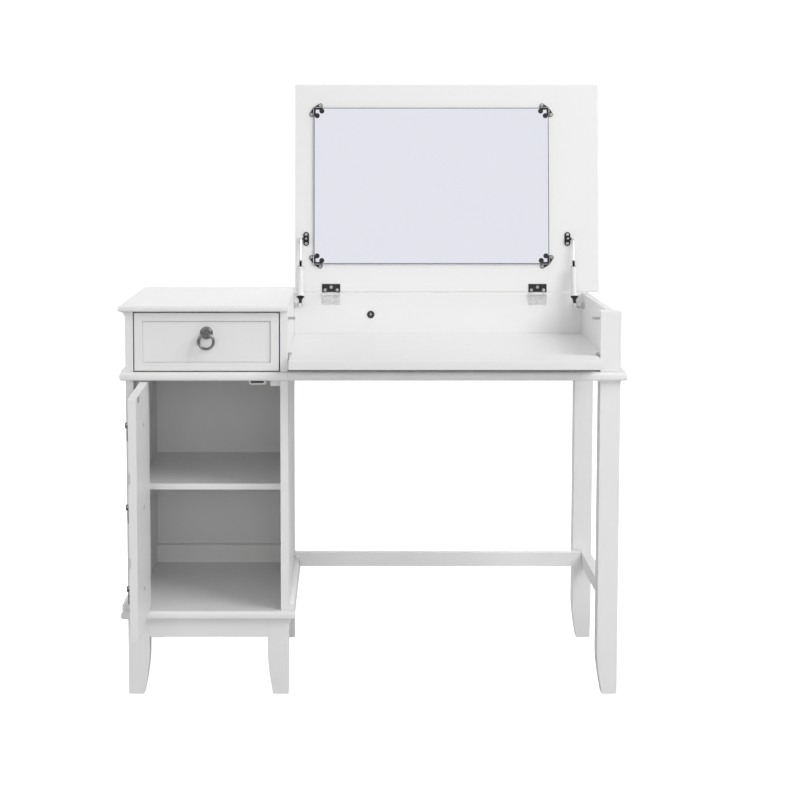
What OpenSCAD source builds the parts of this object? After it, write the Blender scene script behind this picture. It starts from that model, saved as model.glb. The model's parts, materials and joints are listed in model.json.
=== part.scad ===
// Vanity table: a cabinet with a drawer and a door, and a desk with a drop front
// and a lift-up lid that carries a mirror.
// Drawn as it stands with the lid up, the door open and the front panel down.
// x runs along the width, y from front to back, z up. The front is at low y.

/* [Overall] */
// Width over the outer faces of the cabinet and the right legs
body_w = 952; // [820:1:1200]
// Depth over the front and rear faces of the legs
body_d = 460; // [400:1:600]
// Height of the closed table top above the floor
body_h = 762; // [700:1:860]

/* [Cabinet] */
// Width of the cabinet over its side panels
cab_w = 312; // [250:1:380]
// Thickness of the cabinet side panels
side_t = 15; // [12:0.5:20]
// Height of the gap under the base board
foot_h = 152; // [110:1:200]
// Thickness of the base board
base_t = 16; // [12:0.5:22]
// Height of the drawer and tray box, between waist board and top
box_h = 117; // [90:1:160]
// Thickness of the waist board
waist_t = 16; // [12:0.5:22]
// Thickness of the top board and the lid
top_t = 11; // [9:0.5:20]
// How far the top and base boards stand out past the sides
nose = 12.5; // [6:0.5:20]
// How far the waist board stands out past the sides
waist_nose = 11; // [6:0.5:18]
// Height of the shelf's upper face above the cabinet floor
shelf_z = 238; // [120:1:300]
// Thickness of the shelf
shelf_t = 12; // [9:0.5:20]
// Distance of the shelf's front edge behind the front faces
shelf_set = 60; // [20:1:120]
// Thickness of the cabinet back panel
back_t = 5; // [3:0.5:8]

/* [Feet and legs] */
// Width of a cabinet foot at its top
foot_w = 41; // [32:1:60]
// Width of a right leg and of the upper corner post
leg_w = 40; // [32:1:55]
// Width lost on each inner side at the floor
foot_taper = 10.3; // [4:0.1:16]
// Height of the curved inner edge of a foot
foot_curve_h = 90; // [50:1:100]
// Height of the apron under the base board
apron_h = 37.5; // [20:0.5:60]
// Thickness of the apron
apron_t = 16; // [10:0.5:22]
// Height of the stretchers
stretcher_h = 30; // [20:1:45]
// Thickness of the stretchers
stretcher_t = 20; // [14:0.5:28]
// Height of the stretchers' lower face above the floor
stretcher_z = 166; // [120:1:240]

/* [Tray] */
// Thickness of the tray walls
wall_t = 15; // [12:0.5:20]
// Distance of the tray's right wall inside the post's outer face
wall_set = 9; // [4:0.5:14]
// Thickness of the tray floor
tray_floor_t = 15; // [9:0.5:18]
// Thickness of the drop front
panel_t = 16; // [12:0.5:20]
// Gap at each end of the drop front
panel_gap = 3.5; // [1.5:0.5:6]
// Radius of the cable grommet's bore
cable_r = 4.5; // [3:0.5:8]

/* [Lid and mirror] */
// How far the lid leans back past upright when it is open
lean = 8; // [3:1:9]
// Distance of the mirror's sides inside the cabinet and the right legs
mirror_side = 48; // [42:1:100]
// Height of the mirror
mirror_h = 336; // [250:1:350]
// Thickness of the mirror
mirror_t = 4; // [3:0.5:6]
// Distance from the hinge line to the mirror
mirror_set = 65; // [50:1:80]
// Length of a lid hinge
hinge_l = 39; // [30:1:60]
// Distance from the hinge line to the stay stud on the lid
stay_reach = 118.5; // [110:0.5:125]

/* [Drawer and door] */
// Thickness of the drawer front and the door
front_t = 15; // [12:0.5:20]
// Gap round the drawer front and the door
front_gap = 2.2; // [1:0.1:3]
// Thickness of the drawer sides and back
drawer_t = 12; // [9:0.5:15]
// Length of the drawer over front and back
drawer_l = 410; // [300:5:430]
// Width of the raised border on the drawer fronts
border_w = 15.5; // [10:0.5:24]
// Height of the rails between the false drawer fronts of the door
rail_gap = 20.5; // [4:0.5:40]
// Depth of the recessed field inside a border
field_d = 3; // [1:0.5:5]
// Angle between the open door and the closed door
door_open = 89; // [60:1:95]
// Distance of the door pivot from the door's hinged edge
pivot_in = 18; // [16:0.5:24]

/* [Ring pulls] */
// Radius of the ring to the middle of its wire
ring_r = 14.3; // [12:0.1:20]
// Radius of the ring's wire
wire_r = 2.8; // [2:0.1:3.2]
// Radius of the round plate behind the ring
rosette_r = 12.5; // [10:0.5:15]

/* [Hidden] */

// Fineness of round parts
$fn = 48;
// Space left under what slides or swings
slip = 0.4;
// Radial clearance of a pin that turns in its hole
run_fit = 0.05;
// Radial clearance of a screw in its pilot hole
pilot = 0.1;
// Colours
paint = [0.94, 0.94, 0.93];
nickel = [0.36, 0.35, 0.34];
steel = [0.62, 0.62, 0.63];
dark = [0.22, 0.22, 0.23];
inner_wood = [0.9, 0.89, 0.86];

// Heights
z_base = foot_h;
z_floor = z_base + base_t;
z_top = body_h - top_t;
z_box = z_top - box_h;
z_waist = z_box - waist_t;
z_shelf = z_floor + shelf_z;
// Upper edge of the tray walls, just under the lid
z_wall = z_top - 0.5;
// Free height under the feet's wood, where the glides stand
glide_t = 1.5;

// Widths
x_left = -body_w / 2;
x_cab = x_left + cab_w;
x_in0 = x_left + side_t;
x_in1 = x_cab - side_t;
x_right = body_w / 2;
x_post = x_right - leg_w;
x_wall = x_right - wall_set - wall_t;
desk_mid = (x_cab + x_post) / 2;

// Depths
rear_set = 2;
y_rear = body_d - rear_set - wall_t;
back_rail_h = 38;
back_rail_t = 18;
y_rail = y_rear - back_rail_t;

// Lid, drawn closed round its hinge line
hinge_y = y_rear - 3;
hinge_r = 3;
hinge_z = z_top - hinge_r;
lid_open = 90 + lean;
// The cabinet top stands a little past the cabinet's side, and the lid starts just beyond it
top_over = 0.5;
lid_gap = 1.5;
lid_x0 = x_cab + top_over + lid_gap;
lid_x1 = x_right + nose;
lid_front = -nose - hinge_y;
lid_back = -6;

// Door and drop front
door_w = x_in1 - x_in0 - 1.5 * front_gap;
door_x0 = x_in0 + front_gap;
door_z0 = z_floor + front_gap;
door_z1 = z_waist - front_gap;
pivot_x = door_x0 + pivot_in;
pivot_y = front_t / 2;
pin_r = 3;
panel_x0 = x_cab + panel_gap;
panel_x1 = x_post - panel_gap;
panel_z0 = z_box + 3;
panel_z1 = z_wall - 1;
// The drop front's pivot: its tail clears the waist rail and the tray floor
tail = 19;
drop_y = panel_t / 2;
drop_z = panel_z0 + tail;
tail_r = norm([tail, panel_t / 2]);
y_tray = drop_y + tail_r + 1.5;
z_tray = drop_z - panel_t / 2 + tray_floor_t;

// Stays
stay_x = [x_cab + 14, x_wall - 19];
stay_in = 11.5;
stay_y = hinge_y - 30;
stay_z = hinge_z - 22;
stud_z = -4;
stud_open = [
    -stay_reach * cos(lid_open) + stud_z * sin(lid_open),
    stay_reach * sin(lid_open) + stud_z * cos(lid_open)
];
stay_v = [stud_open[0] + hinge_y - stay_y, stud_open[1] + hinge_z - stay_z];
stay_l = norm(stay_v);
stay_tilt = atan2(stay_v[1], stay_v[0]);
stay_short = norm([-stay_reach + hinge_y - stay_y, stud_z + hinge_z - stay_z]);
tube_z0 = 20;
tube_z1 = stay_short - 7;
tube_r = 7;
rod_r = 2.5;
eye_r = 4.5;

// Pulls: the post, the ring's place in front of the face and below the middle of the plate,
// and the plate's height above the middle of the drawer front
post_r = 6;
post_l = 21.3;
ring_y = -15;
pull_drop = 1;
pull_up = 17;

// Places the origin under the middle of the open table
front_reach = pivot_y - (door_w - pivot_in) * sin(door_open) - front_t / 2 * cos(door_open);
back_reach = hinge_y - lid_front * sin(lean) + (hinge_r + top_t) * cos(lean);
y_shift = -(front_reach + back_reach) / 2;

module at_origin() {
    translate([0, y_shift, 0])
        children();
}

// A board between two corners
module board(lo, hi) {
    translate(lo)
        cube(hi - lo);
}

// Outline of a moulded edge, from the tip at u = 0 inwards; t is the board's thickness
function nose_curve(t) = [
    for (i = [0 : 6]) [0.34 * t * (1 - sin(15 * i)), t - 0.5 * t * (1 - cos(15 * i)) * 0.9],
    for (i = [0 : 6]) [0.22 * t * (1 - cos(15 * i)), 0.3 * t * (1 - sin(15 * i))]
];

// Section of a board from a to b, moulded at either end
function section(a, b, t, at_a, at_b) = concat(
    at_a ? [for (p = nose_curve(t)) [a + p[0], p[1]]] : [[a, t], [a, 0]],
    at_b ? [for (i = [13 : -1 : 0]) [b - nose_curve(t)[i][0], nose_curve(t)[i][1]]] : [[b, 0], [b, t]]
);

// A board whose front, and left and right ends if asked, carry the moulding
module nosed(lo, hi, left = true, right = false, front = true) {
    t = hi[2] - lo[2];
    intersection() {
        translate([lo[0], 0, lo[2]])
            rotate([90, 0, 90])
                linear_extrude(hi[0] - lo[0])
                    polygon(section(lo[1], hi[1], t, front, false));
        translate([0, hi[1], lo[2]])
            rotate([90, 0, 0])
                linear_extrude(hi[1] - lo[1])
                    polygon(section(lo[0], hi[0], t, left, right));
    }
}

// A concave strip along y: w wide and h high, standing at the origin against a wall at low x
module cove(w, h, l) {
    translate([0, l, 0])
        rotate([90, 0, 0])
            linear_extrude(l)
                difference() {
                    square([w, h]);
                    translate([w, h])
                        circle(r = min(w, h) - 1.5);
                }
}

// A cylinder along x, y or z
module rod_x(r, l) {
    rotate([0, 90, 0])
        cylinder(r = r, h = l);
}

module rod_y(r, l) {
    rotate([-90, 0, 0])
        cylinder(r = r, h = l);
}

// A screw driven along +z, its head on z = 0 with a round socket in it
module screw(head_r, shank_r, l) {
    rotate_extrude()
        polygon([
            [0, -0.5], [head_r * 0.32, -0.5], [head_r * 0.32, -1.2], [head_r * 0.75, -1.2],
            [head_r, -0.4], [head_r, 0],
            [shank_r, 0], [shank_r, l], [0, l]
        ]);
}

// A pilot hole for that screw
module pilot_hole(shank_r, l) {
    translate([0, 0, -1])
        cylinder(r = shank_r + pilot, h = l + 1 + pilot);
}

// Cabinet

module cabinet_top() {
    color(paint)
        nosed([x_left - nose, -nose, z_top], [x_cab + top_over, body_d, body_h]);
}

module side_panel(x, z0, z1) {
    board([x, 0, z0], [x + side_t, body_d, z1]);
}

module side_left_lower() {
    color(paint)
        difference() {
            side_panel(x_left, z_floor, z_waist);
            shelf_pin_holes();
        }
}

module side_right_lower() {
    color(paint)
        difference() {
            side_panel(x_in1, z_floor, z_waist);
            shelf_pin_holes();
        }
}

module side_left_upper() {
    color(paint)
        side_panel(x_left, z_box, z_top);
}

module side_right_upper() {
    color(paint)
        difference() {
            side_panel(x_in1, z_box, z_top);
            drop_pins(pin_r + pilot);
            stay_bracket_screws(true);
        }
}

module back_panels() {
    color(paint)
        for (z = [[z_floor, z_waist], [z_box, z_top]])
            board([x_in0, y_rear, z[0]], [x_in1, y_rear + back_t, z[1]]);
}

module base_board() {
    color(paint)
        difference() {
            nosed([x_left - nose, -nose, z_base], [x_cab + nose, body_d, z_floor], right = true);
            door_pins(pin_r + pilot);
            foot_bolts(pilot);
        }
}

module waist_board() {
    color(paint)
        difference() {
            nosed([x_left - waist_nose, -waist_nose, z_waist], [x_cab, body_d, z_box]);
            door_pins(pin_r + pilot);
        }
}

// Width of the waist rails inside the table
rail_w = 50;
rail_x = x_post - 10;

module waist_rail_front() {
    color(paint)
        difference() {
            nosed([x_cab, -waist_nose, z_waist], [x_right + waist_nose, rail_w, z_box], false, true);
            leg_bolt_set(pilot);
        }
}

module waist_rail_side() {
    color(paint)
        difference() {
            nosed([rail_x, rail_w, z_waist], [x_right + waist_nose, body_d, z_box], false, true, false);
            leg_bolt_set(pilot);
        }
}

module waist_rail_rear() {
    color(paint)
        board([x_cab, body_d - rail_w, z_waist], [rail_x, body_d, z_box]);
}

cove_s = 9;
cove_base = 20;

module side_coves() {
    color(paint) {
        translate([x_left, 0, z_top])
            mirror([1, 0, 0])
                mirror([0, 0, 1])
                    cove(cove_s, cove_s, body_d);
        translate([x_left, 0, z_box])
            mirror([1, 0, 0])
                cove(cove_s, cove_s, body_d);
        translate([x_left, 0, z_floor])
            mirror([1, 0, 0])
                cove(nose - 1.5, cove_base, body_d);
        translate([x_cab, 0, z_floor])
            cove(nose - 1.5, cove_base, body_d);
        translate([x_right, 0, z_box])
            cove(cove_s, cove_s, body_d);
        board([x_wall + wall_t, leg_w, z_box], [x_right, body_d, z_box + cove_s]);
    }
}

shelf_pin_r = 2.5;

module shelf_pin_set(r, x0, x1) {
    for (y = [shelf_set + 30, y_rear - 40])
        translate([x0, y, z_shelf - shelf_t - shelf_pin_r])
            rod_x(r, x1 - x0);
}

module shelf_pin_holes() {
    shelf_pin_set(shelf_pin_r + pilot, x_in0 - 8, x_in1 + 8);
}

module shelf() {
    color(paint)
        board([x_in0 + 0.5, shelf_set, z_shelf - shelf_t], [x_in1 - 0.5, y_rear, z_shelf]);
}

module shelf_pins() {
    color(steel) {
        shelf_pin_set(shelf_pin_r, x_in0 - 8, x_in0 + 9);
        shelf_pin_set(shelf_pin_r, x_in1 - 9, x_in1 + 8);
    }
}

module back_rail() {
    color(paint)
        board([x_in0, y_rail, z_floor], [x_in1, y_rear, z_floor + back_rail_h]);
}

module aprons() {
    z0 = z_base - apron_h;
    color(paint) {
        board([x_left + foot_w, 0, z0], [x_cab - foot_w, apron_t, z_base]);
        board([x_left + foot_w, body_d - apron_t, z0], [x_cab - foot_w, body_d, z_base]);
        board([x_left, foot_w, z0], [x_left + apron_t, body_d - foot_w, z_base]);
        board([x_cab - apron_t, foot_w, z0], [x_cab, body_d - foot_w, z_base]);
    }
}

// Feet and legs

// Outline of a leg in one view: straight outer edge at u = 0, curved inner edge at the floor
function leg_outline(w, h) = concat(
    [[0, h], [0, glide_t]],
    [for (i = [0 : 10])
        [w - foot_taper * (1 - sin(9 * i)), glide_t + (foot_curve_h - glide_t) * i / 10]],
    [[w, h]]
);

// A leg with its outer corner at the origin, its sides running to +x and +y
module leg(w, h) {
    intersection() {
        translate([0, w, 0])
            rotate([90, 0, 0])
                linear_extrude(w)
                    polygon(leg_outline(w, h));
        rotate([90, 0, 90])
            linear_extrude(w)
                polygon(leg_outline(w, h));
    }
}

// Glides: radius of the foot, and radius and length of the stem
glide_r = 9;
stem_r = 3;
stem_l = 12;

module glide_holes(w) {
    translate([(w - foot_taper) / 2, (w - foot_taper) / 2, -1])
        cylinder(r = stem_r + pilot, h = stem_l + 2);
}

module placed(x, y) {
    translate([x, y, 0])
        mirror([x > x_left + 1 ? 1 : 0, 0, 0])
            mirror([0, y > 1 ? 1 : 0, 0])
                children();
}

// One leg standing at an outer corner of the table
module corner_leg(x, y, w, h) {
    placed(x, y)
        difference() {
            leg(w, h);
            glide_holes(w);
        }
}

module cabinet_feet() {
    color(paint)
        difference() {
            for (x = [x_left, x_cab], y = [0, body_d])
                corner_leg(x, y, foot_w, z_base);
            foot_bolts(pilot);
        }
}

module right_legs() {
    color(paint)
        difference() {
            for (y = [0, body_d])
                corner_leg(x_right, y, leg_w, z_waist);
            leg_bolt_set(pilot);
        }
}

module corner_post() {
    color(paint)
        difference() {
            board([x_post, 0, z_box], [x_right, leg_w, z_wall]);
            drop_pins(pin_r + pilot);
        }
}

module foot_glides() {
    spots = [
        [x_left, 0, foot_w], [x_cab, 0, foot_w], [x_left, body_d, foot_w],
        [x_cab, body_d, foot_w], [x_right, 0, leg_w], [x_right, body_d, leg_w]
    ];
    color(dark)
        for (s = spots)
            placed(s[0], s[1])
                translate([(s[2] - foot_taper) / 2, (s[2] - foot_taper) / 2, 0]) {
                    cylinder(r = glide_r, h = glide_t);
                    cylinder(r = stem_r, h = stem_l);
                }
}

// Bolts: radius, height of the head, and lengths into the right legs and the feet
bolt_r = 3;
bolt_head_h = 4;
leg_bolt_l = 62;
foot_bolt_l = 52;

// Bolts from the waist rails down into the right legs; extra widens them into holes
module leg_bolt_set(extra) {
    for (y = [leg_w / 2, body_d - leg_w / 2])
        translate([x_right - leg_w / 2, y, z_box - 8]) {
            translate([0, 0, -leg_bolt_l])
                cylinder(r = bolt_r + extra, h = leg_bolt_l + extra);
            cylinder(r = bolt_r * 2 + extra, h = bolt_head_h + extra * 50);
        }
}

// Bolts from the cabinet floor down into the feet
module foot_bolts(extra) {
    for (x = [x_left + foot_w / 2, x_cab - foot_w / 2], y = [foot_w / 2, body_d - foot_w / 2])
        translate([x, y, z_floor - 8]) {
            translate([0, 0, -foot_bolt_l])
                cylinder(r = bolt_r + extra, h = foot_bolt_l + extra);
            cylinder(r = bolt_r * 2 + extra, h = bolt_head_h + extra * 50);
        }
}

module leg_bolts() {
    color(steel) {
        leg_bolt_set(0);
        foot_bolts(0);
    }
}

// Desk

module tray_floor() {
    color(paint)
        difference() {
            board([x_cab, y_tray, z_tray - tray_floor_t], [x_wall, y_rear, z_tray]);
            // Notched round the corner post
            board([x_post, 0, z_box], [x_right, leg_w, z_wall]);
        }
}

batten_w = 20;

module tray_battens() {
    color(paint)
        for (y = [y_tray, y_rear - batten_w - 10])
            board([x_cab, y, z_box], [rail_x, y + batten_w, z_tray - tray_floor_t]);
}

// The wall's inner edge is eased behind the hinge leaves
ease_w = 1.2;
ease_h = z_wall - hinge_z + 1;

module tray_rear_wall() {
    color(paint)
        difference() {
            translate([x_cab, 0, z_box])
                rotate([90, 0, 90])
                    linear_extrude(x_wall + wall_t - x_cab)
                        polygon([
                            [y_rear, 0], [y_rear + wall_t, 0], [y_rear + wall_t, z_wall - z_box],
                            [y_rear + ease_w, z_wall - z_box], [y_rear, z_wall - z_box - ease_h]
                        ]);
            translate([cable_x, y_rear - 1, cable_z])
                rod_y(cable_r + grommet_wall + pilot, wall_t + 2);
            hinge_screws_fixed(true);
        }
}

module tray_right_wall() {
    color(paint)
        difference() {
            board([x_wall, leg_w, z_box], [x_wall + wall_t, y_rear, z_wall]);
            stay_bracket_screws(true);
        }
}

// Place of the cable hole's middle, and the grommet's wall and lip
cable_x = x_cab + 164;
cable_z = z_box + 70;
grommet_wall = 1.5;
grommet_lip = 3.5;

module cable_grommet() {
    color(dark)
        translate([cable_x, y_rear, cable_z])
            difference() {
                union() {
                    rod_y(cable_r + grommet_wall, wall_t);
                    translate([0, -grommet_wall, 0])
                        rod_y(cable_r + grommet_lip, grommet_wall);
                }
                translate([0, -5, 0])
                    rod_y(cable_r, wall_t + 10);
            }
}

// Distances of the stretchers in front of the rear leg and inside the legs' outer faces
stretcher_in = 26;
stretcher_set = 4;
stretcher_y = body_d - leg_w - stretcher_in;
stretcher_x = x_right - stretcher_set - stretcher_t;

module stretcher_rear() {
    color(paint)
        difference() {
            board(
                [x_cab, stretcher_y, stretcher_z],
                [stretcher_x, stretcher_y + stretcher_t, stretcher_z + stretcher_h]
            );
            // Notched round the base moulding
            board([x_cab - 1, 0, z_base], [x_cab + nose, body_d, z_floor + cove_base]);
        }
}

module stretcher_side() {
    color(paint)
        board(
            [stretcher_x, leg_w, stretcher_z],
            [stretcher_x + stretcher_t, body_d - leg_w, stretcher_z + stretcher_h]
        );
}

runner_h = 6;

module drawer_runners() {
    color([0.8, 0.72, 0.58])
        for (x = [x_in0, x_in1 - drawer_t - 3])
            board([x, front_t + 2, z_box], [x + drawer_t + 3, y_rear, z_box + runner_h]);
}

// Magnetic catch under the waist board: its housing, and the magnet and strike plate inside that
catch_x = [x_in1 - 61, x_in1 - 28];
magnet_x = [x_in1 - 57, x_in1 - 32];
magnet_z = [z_waist - 7.5, z_waist - 3.5];
strike_z0 = z_waist - 14;
strike_t = 1.2;

module catch_slot(y) {
    board([magnet_x[0], y, magnet_z[0]], [magnet_x[1], front_t + 12, magnet_z[1]]);
}

module door_catch() {
    color([0.9, 0.9, 0.88])
        difference() {
            board([catch_x[0], front_t + 2, z_waist - 11], [catch_x[1], front_t + 24, z_waist]);
            catch_slot(front_t + 1);
        }
}

module catch_magnet() {
    color(dark)
        catch_slot(front_t + 2.5);
}

// Block that the closed door meets
stop_size = [19.5, 25, 13.6];

module stop_block() {
    color(paint)
        translate([x_in1 - stop_size[0], front_t + 1, z_waist - stop_size[2]])
            cube(stop_size);
}

// Pins of radius r on which the door turns
module door_pins(r) {
    extra = r - pin_r;
    for (z = [z_floor, z_waist])
        translate([pivot_x, pivot_y, z - 9 - extra])
            cylinder(r = r, h = 18 + 2 * extra);
}

// Pins of radius r on which the drop front turns
module drop_pins(r) {
    extra = r - pin_r;
    for (x = [x_cab, x_post])
        translate([x - 10 - extra, drop_y, drop_z])
            rod_x(r, 20 + 2 * extra);
}

module pivot_pins() {
    color(steel) {
        door_pins(pin_r);
        drop_pins(pin_r);
    }
}

catch_h = 5;

module panel_catches() {
    z = panel_z1 - 16;
    y = panel_t + slip;
    z_stop = drop_z + panel_t / 2 + slip;
    color(steel) {
        board([x_cab, y, z], [x_cab + 14, y + 8, z + catch_h]);
        board([x_post - 14, y, z], [x_post, y + 8, z + catch_h]);
        // Stops over the tail of the open drop front
        for (x = [x_cab, x_post - 7])
            board([x, y_tray - 12, z_stop], [x + 7, y_tray - 7, z_stop + 5]);
    }
}

// Lid hinges

// Hinge leaves: width, thickness and screw radius; then the pin and the play between knuckles
leaf_w = 20;
leaf_t = 1.5;
leaf_screw_r = 1.4;
// Distance of the hinges' middles from the cabinet and from the right legs
hinge_in = 79;
hinge_xs = [x_cab + hinge_in, x_post - hinge_in];
hinge_pin_r = 1.3;
knuckle_gap = 0.3;

// A knuckle stretch of the hinge at local x from a to b
module knuckle(a, b) {
    translate([a, 0, 0])
        difference() {
            rod_x(hinge_r, b - a);
            translate([-1, 0, 0])
                rod_x(hinge_pin_r + run_fit, b - a + 2);
        }
}

// The hinge screws' places along a leaf: distance from the hinge line and along it
leaf_holes = [[9, -13], [15, 0], [9, 13]];

// A leaf is cut back beside the other leaf's knuckles, up to its neck
neck = -hinge_r - 0.8;

module hinge_fixed_leaves() {
    q = hinge_l / 4 + knuckle_gap;
    y0 = hinge_r - leaf_t;
    color(steel)
        for (x = hinge_xs)
            translate([x, hinge_y, hinge_z]) {
                difference() {
                    union() {
                        board([-hinge_l / 2, y0, -leaf_w - 2], [hinge_l / 2, hinge_r, neck]);
                        for (ends = [[-hinge_l / 2, -q], [q, hinge_l / 2]])
                            board([ends[0], y0, neck], [ends[1], hinge_r, 0]);
                    }
                    rod_x_centred(hinge_r - 0.2, hinge_l + 2);
                    for (p = leaf_holes)
                        translate([p[1], -5, -p[0]])
                            rod_y(leaf_screw_r + pilot, 20);
                }
                knuckle(-hinge_l / 2, -q);
                knuckle(q, hinge_l / 2);
            }
}

module rod_x_centred(r, l) {
    translate([-l / 2, 0, 0])
        rod_x(r, l);
}

// Screws of the fixed leaves in the rear wall, or their pilot holes
module hinge_screws_fixed(hole) {
    for (x = hinge_xs, p = leaf_holes)
        translate([x + p[1], hinge_y + hinge_r - leaf_t, hinge_z - p[0]])
            rotate([-90, 0, 0])
                if (hole)
                    pilot_hole(leaf_screw_r, 11);
                else
                    screw(3.4, leaf_screw_r, 11);
}

// Pins of the lid hinges and the screws of their fixed leaves
module hinge_hardware() {
    color(steel) {
        for (x = hinge_xs)
            translate([x, hinge_y, hinge_z])
                rod_x_centred(hinge_pin_r, hinge_l);
        hinge_screws_fixed(false);
    }
}

// Lid pieces are drawn closed, with the hinge line along x through the origin
module lid_pose() {
    translate([0, hinge_y, hinge_z])
        rotate([-lid_open, 0, 0])
            children();
}

// The mirror sits a little left of the middle of the desk
mirror_w = x_post - x_cab - 2 * mirror_side;
mirror_x0 = desk_mid - mirror_w / 2 - 6;
mirror_y1 = -mirror_set;
mirror_y0 = -mirror_set - mirror_h;

module lid_board() {
    color(paint)
        lid_pose()
            difference() {
                nosed([lid_x0, lid_front, hinge_r], [lid_x1, lid_back, hinge_r + top_t], false, true);
                lid_screw_set(true);
            }
}

module glass_plate() {
    board([mirror_x0, mirror_y0, hinge_r - mirror_t], [mirror_x0 + mirror_w, mirror_y1, hinge_r]);
}

module mirror_glass() {
    color([0.82, 0.84, 0.88])
        lid_pose()
            glass_plate();
}

// Clips: metal thickness, the screw ears outside the glass and the round pads over it
clip_t = 1.5;
clip_fold = 1.2;
clip_ear = [14, 5.3];
clip_ear_r = 4.6;
clip_pad = [17, 7];
clip_pad_r = 5.4;
clip_leg = 4;

// Places children at the four mirror corners, turned so that the glass lies at +x and +y
module mirror_corners() {
    for (i = [0, 1], j = [0, 1])
        translate([mirror_x0 + i * mirror_w, mirror_y0 + j * mirror_h, 0])
            mirror([i, 0, 0])
                mirror([0, j, 0])
                    children();
}

// Draws children along both sides of a corner
module both_arms() {
    children();
    mirror([1, -1, 0])
        children();
}

// Flange on the lid, running out to a screw ear
module clip_flange() {
    polygon([
        [0, 0], [-clip_fold, -clip_fold], [clip_ear[0] - 1.7, 0.4 - clip_ear[1] - clip_ear_r],
        [clip_ear[0] + clip_ear_r, -clip_ear[1]], [clip_ear[0] + clip_ear_r, 0]
    ]);
    translate([clip_ear[0], -clip_ear[1]])
        circle(r = clip_ear_r);
}

module clip_fold_strip() {
    translate([-clip_fold, -clip_fold])
        square([clip_pad[0] + clip_fold, clip_fold]);
}

// Leaf over the glass, ending in a round pad
module clip_leaf() {
    translate([-clip_fold, -clip_fold])
        square([clip_pad[0] + clip_fold, clip_leg + clip_fold]);
    translate(clip_pad)
        circle(r = clip_pad_r);
}

module mirror_clips() {
    color(dark)
        lid_pose()
            difference() {
                mirror_corners()
                    both_arms() {
                        translate([0, 0, hinge_r - clip_t])
                            linear_extrude(clip_t)
                                clip_flange();
                        translate([0, 0, hinge_r - mirror_t - clip_t]) {
                            linear_extrude(mirror_t + clip_t)
                                clip_fold_strip();
                            linear_extrude(clip_t)
                                clip_leaf();
                        }
                    }
                glass_plate();
                lid_screw_set(true);
            }
}

module clip_screw_places() {
    mirror_corners()
        both_arms()
            translate([clip_ear[0], -clip_ear[1], 0])
                children();
}

// Every screw in the lid, or its pilot hole, driven towards +z
module lid_screw_set(hole) {
    clip_screw_places()
        translate([0, 0, hinge_r - clip_t])
            one_screw(hole, 3.3, 1.3, 9.5);
    for (x = hinge_xs, p = leaf_holes)
        translate([x + p[1], -p[0], hinge_r - leaf_t])
            one_screw(hole, 3.4, leaf_screw_r, 9.5);
    for (x = plate_xs, d = [-plate_screw, plate_screw])
        translate([x, -stay_reach + d, hinge_r - plate_t])
            one_screw(hole, 3.2, 1.2, 9.5);
}

module one_screw(hole, head_r, shank_r, l) {
    if (hole)
        pilot_hole(shank_r, l);
    else
        screw(head_r, shank_r, l);
}

module lid_screws() {
    color(steel)
        lid_pose()
            lid_screw_set(false);
}

module hinge_lid_leaves() {
    q = hinge_l / 4 - knuckle_gap;
    z0 = hinge_r - leaf_t;
    color(dark)
        lid_pose()
            for (x = hinge_xs)
                translate([x, 0, 0]) {
                    difference() {
                        union() {
                            board([-hinge_l / 2, -leaf_w - 2, z0], [hinge_l / 2, neck, hinge_r]);
                            board([-q, neck, z0], [q, 0, hinge_r]);
                        }
                        rod_x_centred(hinge_r - 0.2, hinge_l + 2);
                        for (p = leaf_holes)
                            translate([p[1], -p[0], 0])
                                cylinder(r = leaf_screw_r + pilot, h = 6);
                    }
                    knuckle(-q, q);
                }
}

// Stays

// Oval plates on the lid: thickness, place, and half the distance between their screws
plate_t = 2;
plate_screw = 9.7;
plate_xs = [stay_x[0] + stay_in, stay_x[1] - stay_in];

module oval(w, l, t) {
    for (s = [-1, 1])
        translate([0, s * (l - w) / 2, 0])
            cylinder(r = w / 2, h = t);
    translate([-w / 2, -(l - w) / 2, 0])
        cube([w, l - w, t]);
}

module stay_plates() {
    color(dark)
        lid_pose()
            difference() {
                for (i = [0, 1])
                    translate([plate_xs[i], -stay_reach, 0]) {
                        translate([0, 0, hinge_r - plate_t])
                            oval(12.5, 30, plate_t);
                        translate([0, 0, stud_z - 3.5])
                            cylinder(r = 3.5, h = hinge_r - plate_t - stud_z + 3.5);
                        // Ends just short of the rod's eye
                        translate([0, 0, stud_z])
                            mirror([1 - i, 0, 0])
                                rod_x(2.5, stay_in - 3 - 0.5);
                    }
                lid_screw_set(true);
            }
}

// Wall plate and stud on which a stay's cylinder turns
module stay_bracket(x_face, x_stay) {
    dir = x_stay > x_face ? 0 : 1;
    reach = abs(x_stay - x_face);
    translate([x_face, stay_y, stay_z])
        mirror([dir, 0, 0]) {
            rotate([0, 90, 0])
                oval(13, 32, 2.5);
            rod_x(4.5, reach - 3.3);
            rod_x(2.5, reach + 5);
        }
}

module stay_bracket_screws(hole) {
    for (x_dir = [[x_cab, -1], [x_wall, 1]], d = [-11, 11])
        translate([x_dir[0] - x_dir[1] * 2.5, stay_y + d, stay_z])
            rotate([0, x_dir[1] * 90, 0])
                one_screw(hole, 2.2, 1.2, 13);
}

module stay_brackets() {
    color(steel) {
        difference() {
            union() {
                stay_bracket(x_cab, stay_x[0]);
                stay_bracket(x_wall, stay_x[1]);
            }
            stay_bracket_screws(true);
        }
        stay_bracket_screws(false);
    }
}

// Stay pieces are drawn along +z from the wall pivot
module stay_pose(x) {
    translate([x, stay_y, stay_z])
        rotate([stay_tilt - 90, 0, 0])
            children();
}

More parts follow.
